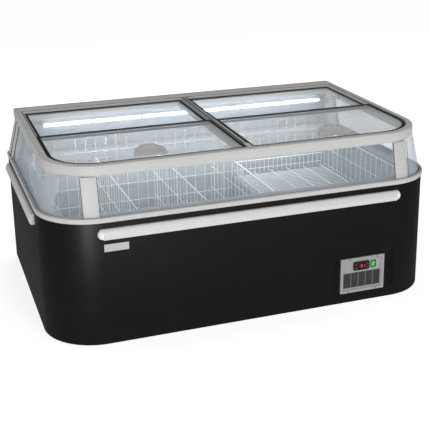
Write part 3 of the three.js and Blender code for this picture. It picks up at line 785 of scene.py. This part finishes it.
def build_glass_house():
    for side, sign in (("left", -1), ("right", 1)):
        pane = refined(f"glass_{side}", f"pane_{side}", 0.0003)
        finish(pane, WALL_GLASS, replaces=[f"glass_{side}"])
        post = refined(f"post_front_{side}", f"post_{side}", 0.0016, 3)
        finish(post, GREY_TRIM, replaces=[f"post_front_{side}"])
        for edge, low, high in (("inner", POST_INNER - 0.0024, POST_INNER - 0.0002),
                                ("outer", POST_OUTER + 0.0002, POST_OUTER + 0.0018)):
            seal = upright_strip(f"post_seal_{edge}_{side}", sign * low, sign * high, 0.0082,
                                 0.0098, RIM_HIGH.z, 0.7285)
            finish(seal, GASKET)
        top = under_frame(RETURN_START) - 0.001
        joints = ((-0.0052, -0.0004, 0.0098), (0.0480, 0.0530, WALL_INSET - 0.0002))
        for number, (low, high, inside) in enumerate(joints, 1):
            seal = upright_strip(f"return_seal_{number}_{side}", sign * (RETURN_START + low),
                                 sign * (RETURN_START + high), inside - 0.0022, inside,
                                 RIM_HIGH.z + 0.0003, top, front=False)
            finish(seal, GASKET)
    pane = refined("glass_front", "pane_front", 0.0003)
    finish(pane, WALL_GLASS, replaces=["glass_front"])
    wall = refined("rear_wall", "rear_wall_shell", 0.0010)
    finish(wall, GREY_TRIM, replaces=["rear_wall"])
    far = HALF - WALL_INSIDE - 0.001
    lining = block("rear_wall_lining", -far, far, REAR - WALL_INSIDE - 0.0016,
                   REAR - WALL_INSIDE - 0.0003, FOOT_Z + 0.001, under_frame(REAR) - 0.004)
    finish(lean(soften(lining, 0.0004, 2)), LEDGE)


# ---------------------------------------------------------------- top frame and lids


def build_top_frame():
    start = 0.0030
    corners = corner_radii(DECK_CORNER - start, DECK_REAR_CORNER - start)
    top = sheet("top_frame_profile", start - DECK_HALF, DECK_HALF - start, start,
                DECK_DEPTH - start, -DECK_THICK, corners)
    draw_profile(top, [
        (start, -DECK_THICK), (0.0006, -0.0435), (0.0, -0.0410), (0.0, -0.0100),
        (0.0012, -0.0092), (0.0012, -0.0076), (0.0002, -0.0068), (0.0006, -0.0040),
        (0.0020, -0.0014), (0.0050, 0.0)])
    face_outwards(top)
    lip = OPENING["lip"]
    half = OPENING["half"]
    carve(top, prism("opening", -half, half, TRACK_FRONT + lip, TRACK_REAR - lip, -0.06, 0.01,
                     corner_radii(OPENING["corner"], 0.006)))
    for track, ceiling in ((UPPER, 0.01), (LOWER, GAP - UPPER["depth"])):
        half = track["half"]
        carve(top, prism("track", -half, half, TRACK_FRONT, TRACK_REAR, -track["depth"], ceiling,
                         corner_radii(track["corner"], 0.002)))
    seat = 0.0048
    half = UPPER["half"] + seat
    carve(top, prism("seat", -half, half, TRACK_FRONT - seat, TRACK_REAR + seat, -0.0014, 0.01,
                     corner_radii(UPPER["corner"] + seat, 0.004)))
    soften(top, 0.0006, 2, 40)
    rail = copy(top, "top_rail_profile")
    carve(rail, block("keep", -DECK_SEAM, DECK_SEAM, -0.01, 0.060, -0.06, 0.01), "INTERSECT")
    seam = DECK_SEAM + GAP
    carve(top, block("seam_gap", -seam, seam, -0.01, 0.060, -0.06, 0.01))
    finish(on_deck(rail), GREY_TRIM, replaces=["top_rail_front"])
    finish(on_deck(top), GREY_TRIM, replaces=["top_frame_surround"])
    gasket = prism("opening_gasket", 0.0003 - half, half - 0.0003, TRACK_FRONT - seat + 0.0003,
                   TRACK_REAR + seat - 0.0003, -0.0014 + 0.0001, -0.0001,
                   corner_radii(UPPER["corner"] + seat, 0.004))
    inner = UPPER["half"] + 0.0003
    carve(gasket, prism("inside", -inner, inner, TRACK_FRONT - 0.0003, TRACK_REAR + 0.0003,
                        -0.01, 0.01, corner_radii(UPPER["corner"], 0.002)))
    soften(gasket, 0.0006, 2, 40)
    finish(on_deck(gasket), GASKET)
    mullion = refined("centre_mullion", "mullion_bar", 0.0008)
    finish(mullion, MULLION_GREY, replaces=["centre_mullion"])
    strip = block("mullion_seals", 0.0070, 0.0119, 0.0480, 0.9700, 0.0001, 0.0014)
    strips = [strip, mirrored(strip, "mullion_seal_left")]
    seals = soften(join("mullion_seals", strips), 0.0006, 2)
    finish(on_deck(seals), GASKET)
    cap = block("mullion_end_cap", -0.0112, 0.0112, 0.0330, 0.0860, -0.0006, 0.0022)
    pick_faces(cap, lambda centre, normal: normal.z > 0.9)
    bpy.ops.mesh.inset(thickness=0.0020, depth=0.0008)
    leave(cap)
    soften(cap, 0.0008, 3, 30)
    finish(on_deck(cap), GREY_TRIM)


def lid_prism(name, side, track, y0, inset, z0, z1):
    near = track["mullion"] + 0.001 + inset
    far = track["half"] - 0.001 - inset
    x0, x1 = sorted((side * near, side * far))
    rounded = track["corner"] - 0.001 - inset if track is UPPER else 0.002
    small = 0.002
    corners = {(side, -1): rounded, (-side, -1): small, (1, 1): small, (-1, 1): small}
    return prism(name, x0, x1, y0 + inset, y0 + LID_LENGTH - inset, z0, z1, corners)


def build_lid(row, side_name, side, track, y0):
    node = f"lid_{row}_{side_name}"
    bottom = GAP - track["depth"]
    top = bottom + LID_THICK
    rim = lid_prism(f"{node}_edging", side, track, y0, 0, bottom, top)
    carve(rim, lid_prism("inside", side, track, y0, LID_EDGE, bottom - 0.01, top + 0.01))
    soften(rim, 0.0014, 3, 40)
    finish(on_deck(rim), GASKET, node, [f"{node}_frame"])
    low = bottom + 0.002
    pane = lid_prism(f"{node}_pane", side, track, y0, LID_EDGE + GAP, low, low + PANE)
    soften(pane, 0.0003, 2, 40)
    # The front and rear lids take the lit and the shaded copy of the glass, painted light and
    # painted shade.
    finish(on_deck(pane), LIT_AND_SHADED_LID_GLASS[row], node, [f"{node}_glass"])
    return low + PANE


def half_disc(name, radius, depth, low):
    clear_selection()
    bpy.ops.mesh.primitive_cylinder_add(vertices=96, radius=radius, depth=depth)
    disc = named(name)
    resize_and_place(disc, (1, 1, 1), (0, 0, low + depth / 2))
    return cut(disc, (0, 0, 0), (0, -1, 0))


def build_pull(side_name, side, base):
    """A half-moon pull that rises from its straight front edge, dished inside a broad rim."""
    node = f"lid_front_{side_name}"
    low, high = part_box(f"{node}_handle")
    radius = (high.x - low.x) / 2
    tall = 0.030
    front = 0.008
    slope = math.atan((tall - front) / radius)
    pull = half_disc(f"{node}_pull", radius, tall, 0)
    cut(pull, (0, 0, front), (0, -math.sin(slope), math.cos(slope)))
    dish = half_disc("dish", radius - 0.018, 0.08, -0.008)
    lift = Matrix.Translation((0, 0, front)) @ Matrix.Rotation(slope, 4, "X")
    dish.data.transform(lift @ Matrix.Translation((0, 0.004, 0)))
    soften(pull, 0.0020, 4, 30)
    carve(pull, dish)
    soften(pull, 0.0009, 3, 40)
    resize_and_place(pull, (1, 1, 1), (side * 0.420, TRACK_FRONT + 0.046, base + GAP))
    finish(on_deck(pull), PULL_GREY, node, [f"{node}_handle"])


def build_lids():
    for side_name, side in (("left", -1), ("right", 1)):
        base = build_lid("front", side_name, side, UPPER, TRACK_FRONT + 0.001)
        build_pull(side_name, side, base)
        build_lid("rear", side_name, side, LOWER, TRACK_REAR - 0.001 - LID_LENGTH)


# ---------------------------------------------------------------- wire work in the tank

FINE = 0.0015
THICK = 0.0024
GRID_START = -0.790
GRID_PITCH = 0.0527
GRID_DROP = 0.0948
DEEP_WIRES = 20
SHALLOW_WIRES = 11
HUMP_EDGE = 0.262


def row_of_wires(start, end, count, step, radius=FINE, sides=6):
    return repeat(rod("wires", start, end, radius, sides), count, step)


def build_wires():
    build_long_grid("rear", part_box("grid_rear")[0].y + 0.0015, -0.003, 4, FINE)
    build_long_grid("front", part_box("grid_front")[0].y + 0.002, 0.003, 3, THICK)
    for side in ("left", "right"):
        build_end_grid(f"wire_grid_{side}", f"grid_{side}", THICK, GRID_DROP)
    for number in (1, 2, 3):
        build_end_grid(f"wire_divider_{number}", f"divider_{number}", 0.0030, 0.118)


def build_long_grid(side, y, behind, long_levels, radius):
    """A grid along the tank, which is deep up to the hump and shallow over it."""
    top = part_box(f"grid_{side}")[1].z - 0.002
    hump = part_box("grid_right")[0].z + 0.002
    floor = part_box("grid_rear")[0].z + 0.002
    step = (GRID_PITCH, 0, 0)
    x1 = GRID_START + GRID_PITCH * DEEP_WIRES
    level_y = y + behind
    low = top - long_levels * GRID_DROP
    rows = [row_of_wires((GRID_START, y, floor), (GRID_START, y, top), DEEP_WIRES, step),
            row_of_wires((x1, y, hump), (x1, y, top), SHALLOW_WIRES, step),
            row_of_wires((GRID_START, level_y, top), (-GRID_START, level_y, top), long_levels,
                         (0, 0, -GRID_DROP), radius),
            row_of_wires((GRID_START, level_y, low), (HUMP_EDGE, level_y, low), 3,
                         (0, 0, -0.0900))]
    finish(join(f"wire_grid_{side}", rows), WIRE, replaces=[f"grid_{side}"])


def build_end_grid(name, node, top_radius, drop):
    """A grid across the tank, with a heavy wire along its top."""
    low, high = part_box(node)
    x = (low.x + high.x) / 2
    y0 = low.y + 0.003
    y1 = high.y - 0.003
    top = high.z - top_radius
    count = 18
    pitch = (y1 - y0) / (count - 1)
    levels = int((top - low.z) / drop)
    rows = [row_of_wires((x, y0, low.z + 0.002), (x, y0, top), count, (0, pitch, 0)),
            rod("wires", (x, y0 - 0.002, top), (x, y1 + 0.002, top), top_radius, 8),
            row_of_wires((x - 0.003, y0, top - drop), (x - 0.003, y1, top - drop),
                         max(levels, 1), (0, 0, -drop))]
    finish(join(name, rows), WIRE, replaces=[node])


def build_hump_rack():
    low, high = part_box("hump_rack")
    z = (low.z + high.z) / 2
    left = low.x + 0.004
    fine = 0.0225
    heavy = 0.0985
    top = z + 0.070
    count = int((high.y - low.y) / fine)
    rows = [row_of_wires((low.x, low.y + 0.004, z), (high.x, low.y + 0.004, z), count,
                         (0, fine, 0)),
            row_of_wires((left, low.y, z + 0.004), (left, high.y, z + 0.004), 6, (heavy, 0, 0),
                         THICK, 8),
            rod("wires", (left, low.y, top), (left, high.y, top), THICK),
            row_of_wires((left, low.y + 0.006, z), (left, low.y + 0.006, top), 21, (0, 0.044, 0)),
            rod("wires", (left, high.y, top), (high.x, high.y, top), THICK),
            row_of_wires((low.x + 0.006, high.y, z), (low.x + 0.006, high.y, top), 10,
                         (GRID_PITCH, 0, 0))]
    finish(join("hump_wire_basket", rows), WIRE, replaces=["hump_rack"])


def build_lamp():
    low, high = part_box("lamp")
    y = (low.y + high.y) / 2
    z = (low.z + high.z) / 2
    radius = (high.z - low.z) / 2
    tube = rod("lamp_tube", (low.x + 0.022, y, z), (high.x - 0.022, y, z), radius - 0.0008, 24,
               0.002)
    finish(tube, LIT_TUBE, replaces=["lamp"], angle=40)
    ends = []
    for x, inward in ((low.x, 0.0225), (high.x, -0.0225)):
        ends.append(rod("lamp_end", (x, y, z), (x + inward, y, z), radius, 24, 0.0015))
    finish(join("lamp_end_caps", ends), LEDGE, angle=40)
    clip = block("lamp_clips", -0.004, 0.004, y - radius - 0.0018, y + radius + 0.0018,
                 z - radius - 0.0018, z + radius + 0.0018)
    carve(clip, rod("bore", (-0.1, y, z), (0.1, y, z), radius, 24))
    soften(clip, 0.0008, 2, 40)
    clips = [shifted(clip, f"clip_{x}", (x, 0, 0)) for x in (-0.48, -0.22, 0.30, 0.56)]
    bpy.data.objects.remove(clip)
    finish(join("lamp_clips", clips), LEDGE, angle=40)


# ---------------------------------------------------------------- control panel


def build_controls():
    build_bezel()
    build_panel_screws()
    build_grille()
    build_controller()
    bezel = refined("switch_bezel", "switch_surround", 0.0006)
    finish(bezel, DARK_PLASTIC, replaces=["switch_bezel"])
    rocker = refined("switch_rocker", "lit_rocker", 0.0008)
    finish(rocker, ROCKER_GREEN, "rocker", ["switch_rocker"])


def build_bezel():
    """A raised flange that slopes in to a sunk floor, pierced for the fittings."""
    low, high = PANEL_LOW, PANEL_HIGH
    panel = block("panel_bezel", low.x, high.x, low.y, FRONT - 0.0003, low.z, high.z)
    pick_faces(panel, lambda centre, normal: normal.y < -0.9)
    bpy.ops.mesh.inset(thickness=0.0115, depth=0.0)
    bpy.ops.mesh.inset(thickness=0.0040, depth=-0.0080)
    leave(panel)
    carve(panel, block("tub", low.x + 0.009, high.x - 0.009, FRONT - 0.0006, FRONT + 0.004,
                       low.z + 0.009, high.z - 0.009), "UNION")
    for node, margin in (("controller", 0.0040), ("switch_bezel", 0.0015), ("intake_grille", 0)):
        a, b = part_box(node)
        carve(panel, block("hole", a.x + margin, b.x - margin, FRONT - 0.02, FRONT + 0.02,
                           a.z + margin, b.z - margin))
    soften(panel, 0.0012, 3, 25)
    finish(panel, BEZEL_GREY, replaces=["control_panel"])


def build_panel_screws():
    face = PANEL_LOW.y
    heads = []
    for x, z in ((0.447, 0.2198), (0.584, 0.2198), (0.442, 0.0662), (0.578, 0.0662)):
        head = rod("screw", (x, face - 0.0004, z), (x, face + 0.0006, z), 0.0030, 14)
        pick_faces(head, lambda centre, normal: normal.y < -0.9)
        bpy.ops.mesh.inset(thickness=0.0012, depth=0.0002)
        bpy.ops.mesh.inset(thickness=0.0003, depth=-0.0005)
        leave(head)
        heads.append(head)
    finish(join("panel_screws", heads), DARK_PLASTIC)


def build_grille():
    """Five fields of fine upright slats between plain bars."""
    low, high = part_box("intake_grille")
    plate = block("grille_plate", low.x, high.x, low.y, high.y, low.z, high.z)
    fields = 5
    bar = 0.0022
    width = (high.x - low.x - 0.004) / fields
    for field in range(fields):
        x0 = low.x + 0.002 + field * width + bar / 2
        slots = 9
        pitch = (width - bar) / slots
        slot = block("slots", x0 + 0.0006, x0 + 0.0006 + pitch * 0.52, low.y - 0.01, high.y + 0.01,
                     low.z + 0.004, high.z - 0.004)
        carve(plate, repeat(slot, slots, (pitch, 0, 0)))
    finish(plate, GRILLE_GREY, replaces=["intake_grille"])
    bars = [block("bar", x - 0.0008, x + 0.0008, low.y - 0.0010, low.y + 0.0004, low.z + 0.001,
                  high.z - 0.001)
            for x in [low.x + 0.002 + width * field for field in range(1, fields)]]
    finish(soften(join("grille_bars", bars), 0.0005, 2), BEZEL_GREY)


def build_controller():
    low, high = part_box("controller")
    body = refined("controller", "controller_face", 0.0010, 3)
    finish(body, DARK_PLASTIC, replaces=["controller"])
    x = (low.x + high.x) / 2
    z = (low.z + high.z) / 2
    window = block("display_window", x - 0.0185, x + 0.0185, low.y + 0.0004, low.y + 0.0012,
                   z - 0.0105, z + 0.0105)
    finish(soften(window, 0.0003, 2), DARK_PLASTIC)
    for name, offset, marks, material in (("digit_left", -0.0105, "abged", DIGIT_DIM),
                                          ("digit_middle", 0.0005, "abcdefg", DIGIT_RED),
                                          ("digit_right", 0.0115, "bc", DIGIT_RED)):
        bars = seven_segments(x + offset, low.y + 0.0001, z, marks)
        finish(join(name, bars), material)
    for name in ("up", "down", "set", "defrost"):
        button = refined(f"button_{name}", f"key_{name}", 0.0006, 3)
        finish(button, KEY_GREY, f"button_{name}_body", [f"button_{name}"])
    lamps = [block("mark", x + dx, x + dx + 0.0030, low.y - 0.0001, low.y + 0.0004, z + dz,
                   z + dz + 0.0009)
             for dx, dz in ((-0.0215, 0.0135), (-0.0215, -0.0145), (0.0185, 0.0135),
                            (0.0185, -0.0145))]
    finish(join("controller_marks", lamps), MARK_WHITE)


def seven_segments(x, y, z, lit):
    half_w = 0.0034
    half_h = 0.0068
    thin = 0.0007
    level = {"a": half_h, "g": 0, "d": -half_h}
    side = {"f": (-half_w, 1), "b": (half_w, 1), "e": (-half_w, -1), "c": (half_w, -1)}
    bars = []
    for mark in lit:
        if mark in level:
            h = level[mark]
            bars.append(block("bar", x - half_w + 0.001, x + half_w - 0.001, y, y + 0.0004,
                              z + h - thin, z + h + thin))
        else:
            dx, up = side[mark]
            z0, z1 = sorted((up * 0.0010, up * (half_h - 0.0008)))
            bars.append(block("bar", x + dx - thin, x + dx + thin, y, y + 0.0004, z + z0, z + z1))
    return bars


# ---------------------------------------------------------------- floor, light and camera

SKY_ON_SURFACES = 0.42
SKY_IN_REFLECTIONS = 0.16


def build_stage():
    clear_selection()
    bpy.ops.mesh.primitive_plane_add(size=1)
    floor = named("studio_floor")
    resize_and_place(floor, (24, 24, 1), (0, 4, 0))
    pale = Recipe("studio_floor_paint", Specular_IOR_Level=0.1, Emission_Strength=0.6)
    mottle = pale.noise(1.5, 2.0)
    pale.feed("Base Color", pale.blend(mottle, (0.93, 0.93, 0.93, 1), (0.90, 0.90, 0.90, 1)))
    pale.feed("Roughness", 0.85 + mottle * 0.1)
    pale.shader.inputs["Emission Color"].default_value = (1, 1, 1, 1)
    floor.data.materials.append(pale.material)
    floor.visible_glossy = False


def soft_light(name, place, aim, width, height, power, reflected=True):
    light = bpy.data.lights.new(name, "AREA")
    light.shape = "RECTANGLE"
    light.size = width
    light.size_y = height
    light.energy = power
    holder = bpy.data.objects.new(name, light)
    bpy.context.scene.collection.objects.link(holder)
    holder.location = place
    holder.rotation_mode = "QUATERNION"
    holder.rotation_quaternion = (Vector(aim) - Vector(place)).to_track_quat("-Z", "Y")
    holder.visible_camera = False
    holder.visible_glossy = reflected
    return holder


def build_light():
    """A white backdrop that lights the cabinet softly, a key light and four helpers."""
    world = bpy.data.worlds.new("studio")
    world.use_nodes = True
    tree = world.node_tree
    sky = tree.nodes["Background"]
    sky.inputs["Color"].default_value = (1, 1, 1, 1)
    rays = tree.nodes.new("ShaderNodeLightPath")
    level = tree.nodes.new("ShaderNodeMapRange")
    level.inputs["To Min"].default_value = SKY_ON_SURFACES
    level.inputs["To Max"].default_value = SKY_IN_REFLECTIONS
    tree.links.new(rays.outputs["Is Glossy Ray"], level.inputs["Value"])
    shown = tree.nodes.new("ShaderNodeMath")
    shown.operation = "MAXIMUM"
    tree.links.new(rays.outputs["Is Camera Ray"], shown.inputs[0])
    tree.links.new(level.outputs["Result"], shown.inputs[1])
    tree.links.new(shown.outputs[0], sky.inputs["Strength"])
    bpy.context.scene.world = world
    bpy.context.scene.view_settings.view_transform = "Standard"
    soft_light("key", (-0.8, -6.0, 3.0), (0, 0, 0.4), 5.0, 3.0, 132)
    corner = soft_light("corner_strip", (-2.1, -4.4, 0.95), (-0.7, -0.5, 0.3), 0.4, 1.9, 80)
    corner.visible_diffuse = False
    soft_light("tank_glow", (0, 0.0, 0.735), (0, 0.0, 0.25), 1.5, 0.7, 2.2, False)
    soft_light("wall_glow", (0, 0.27, 0.64), (0, 0.50, 0.60), 1.5, 0.06, 2.8, False)
    soft_light("back_fill", (0.6, 6.0, 3.2), (0, 0, 0.5), 4.0, 3.0, 60, False)


def build_camera():
    data = bpy.data.cameras.new("camera")
    data.lens = 75.42
    data.sensor_width = 36
    data.shift_y = -0.1
    camera = bpy.data.objects.new("camera", data)
    bpy.context.scene.collection.objects.link(camera)
    yaw = math.radians(18.98)
    pitch = math.radians(17.23)
    roll = math.radians(-0.93)
    forward = Vector((math.sin(yaw) * math.cos(pitch), math.cos(yaw) * math.cos(pitch),
                      -math.sin(pitch)))
    level = Vector((math.cos(yaw), -math.sin(yaw), 0))
    upward = level.cross(forward)
    right = math.cos(roll) * level + math.sin(roll) * upward
    up = math.cos(roll) * upward - math.sin(roll) * level
    turn = Matrix((right, up, -forward)).transposed().to_4x4()
    camera.matrix_world = Matrix.Translation((-1.3396, -3.9279, 1.8068)) @ turn
    bpy.context.scene.camera = camera


build_camera()
build_light()
build_stage()
build_shell()
build_rim()
build_rear()
build_collar_and_tank()
build_machinery()
build_bumpers()
build_glass_house()
build_top_frame()
build_lids()
build_wires()
build_hump_rack()
build_lamp()
build_controls()
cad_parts["insulation"].data.materials.clear()
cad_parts["insulation"].data.materials.append(FOAM)
